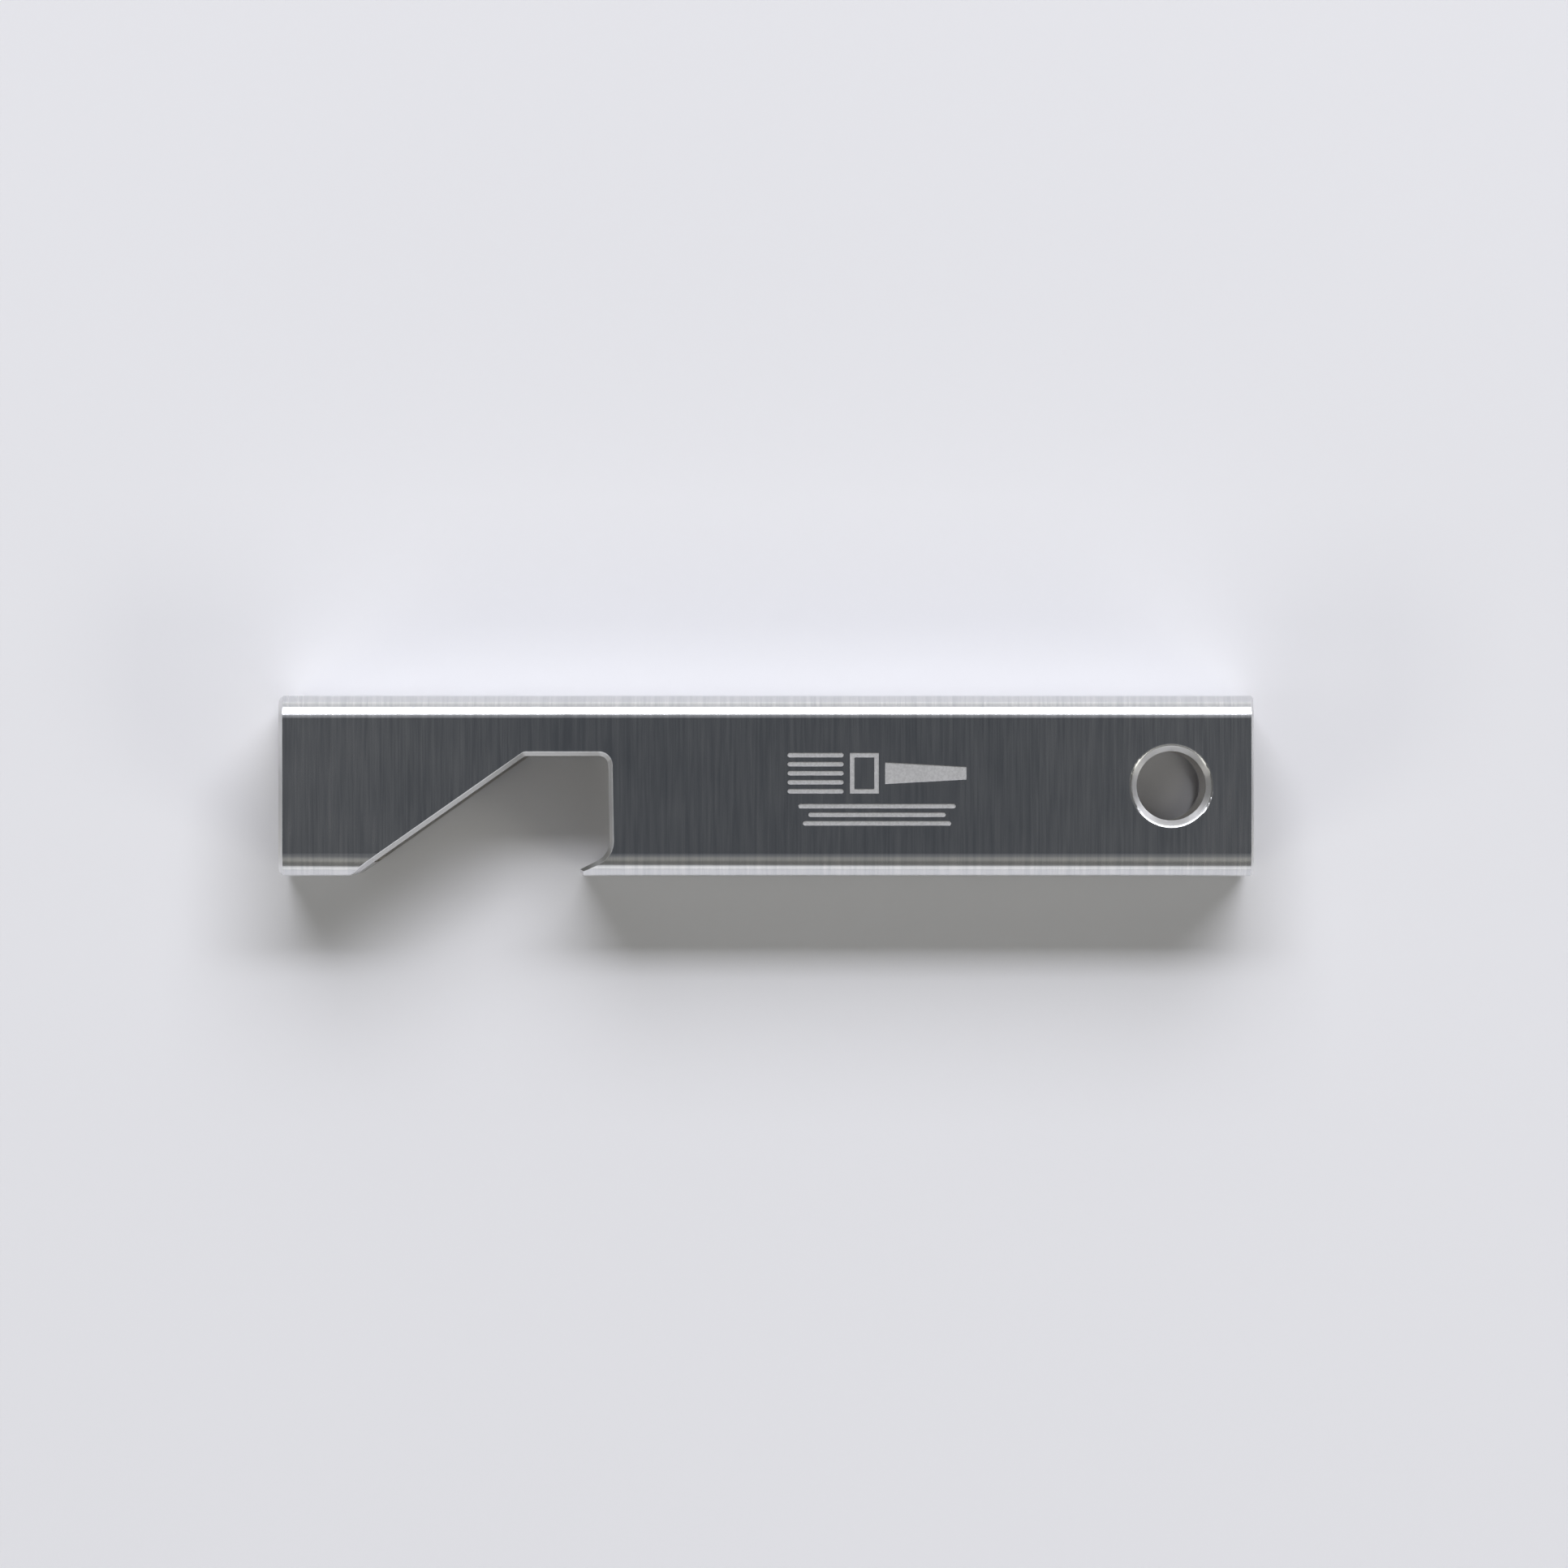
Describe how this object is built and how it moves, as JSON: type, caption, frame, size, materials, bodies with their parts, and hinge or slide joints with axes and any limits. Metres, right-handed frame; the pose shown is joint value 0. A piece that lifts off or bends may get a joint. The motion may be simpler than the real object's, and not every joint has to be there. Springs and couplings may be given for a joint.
{
  "type": "pocket opener tool",
  "caption": "Short length of square steel tube with a hooked notch that lifts caps and lids, and a hanging hole near one end.",
  "frame": {"origin": "middle of the rear face, where the tool rests", "axes": "+X along the tube from the notch to the hanging hole, +Y towards the whole side opposite the notch's mouth, +Z out of the front face"},
  "size_m": [0.108, 0.02, 0.02],
  "materials": {
    "brushed_tube": "brushed across the length, with smoother chamfers",
    "weld": "ground flush outside, plain bead inside"
  },
  "bodies": {
    "root": {"tube_wall": "brushed_tube", "seam_weld": "weld"}
  },
  "joints": []
}
